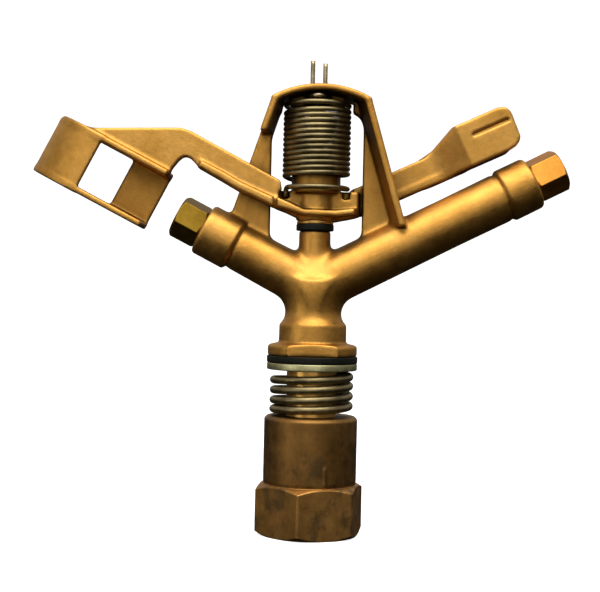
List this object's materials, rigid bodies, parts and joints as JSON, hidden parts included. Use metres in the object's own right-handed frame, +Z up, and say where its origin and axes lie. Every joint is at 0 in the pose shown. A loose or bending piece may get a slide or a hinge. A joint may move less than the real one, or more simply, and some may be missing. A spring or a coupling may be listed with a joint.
{
  "type": "impact sprinkler",
  "caption": "Brass impact sprinkler: two tilted jet tubes turn on a spring-loaded bearing sleeve, and a sprung arm with a spoon swings in and out of the short jet.",
  "frame": {"origin": "centre of the inlet mouth, on the bottom face of the bearing sleeve", "axes": "+Z up along the inlet and bearing axis, +X along the long tube, -X along the short tube and the spoon of the arm, -Y the side the arm swings out to"},
  "size_m": [0.2162, 0.044, 0.1903],
  "materials": {
    "sleeve_brass": "machined, tarnished",
    "seal_rubber": "moulded",
    "slip_ptfe": "smooth",
    "machined_brass": "machined",
    "spring_steel": "drawn wire, dull",
    "passivated_steel": "yellow passivated",
    "cast_brass": "cast, tumbled",
    "nozzle_brass_orange": "machined",
    "nozzle_brass_olive": "machined, tarnished",
    "vane_plastic": "moulded",
    "pin_steel": "ground",
    "split_pin_wire": "drawn wire"
  },
  "bodies": {
    "inlet": {"inlet_sleeve": "sleeve_brass", "lower_seal_washer": "seal_rubber", "slip_washer": "slip_ptfe", "upper_seal_washer": "seal_rubber", "thrust_ring": "machined_brass", "bearing_spring": "spring_steel"},
    "thrust_stack": {"spring_washer": "passivated_steel"},
    "head": {"dust_washer": "seal_rubber", "bearing_nipple": "machined_brass", "sprinkler_body": "cast_brass", "range_nozzle": "nozzle_brass_orange", "spreader_nozzle": "nozzle_brass_olive", "stream_straightener": "vane_plastic", "fulcrum_pin": "pin_steel", "split_pin": "split_pin_wire", "arm_washer": "seal_rubber", "arm_spring": "spring_steel"},
    "arm": {"impact_arm": "cast_brass", "arm_bushing": "machined_brass"}
  },
  "joints": [
    {"name": "head_press", "type": "slide", "parent": "inlet", "child": "thrust_stack", "axis": [0, 0, 1], "range_m": [-0.002, 0], "stiffness_N_per_m": 9200, "springref_m": 0.005, "deforming": ["bearing_spring"]},
    {"name": "head_rotation", "type": "hinge", "parent": "thrust_stack", "child": "head", "pos_m": [0, 0, 0], "axis": [0, 0, 1], "continuous": true},
    {"name": "arm_swing", "type": "hinge", "parent": "head", "child": "arm", "pos_m": [0, 0, 0.126], "axis": [0, 0, 1], "range_deg": [0, 120], "stiffness_Nm_per_rad": 0.126, "springref_deg": -68.75, "deforming": ["arm_spring"]}
  ]
}
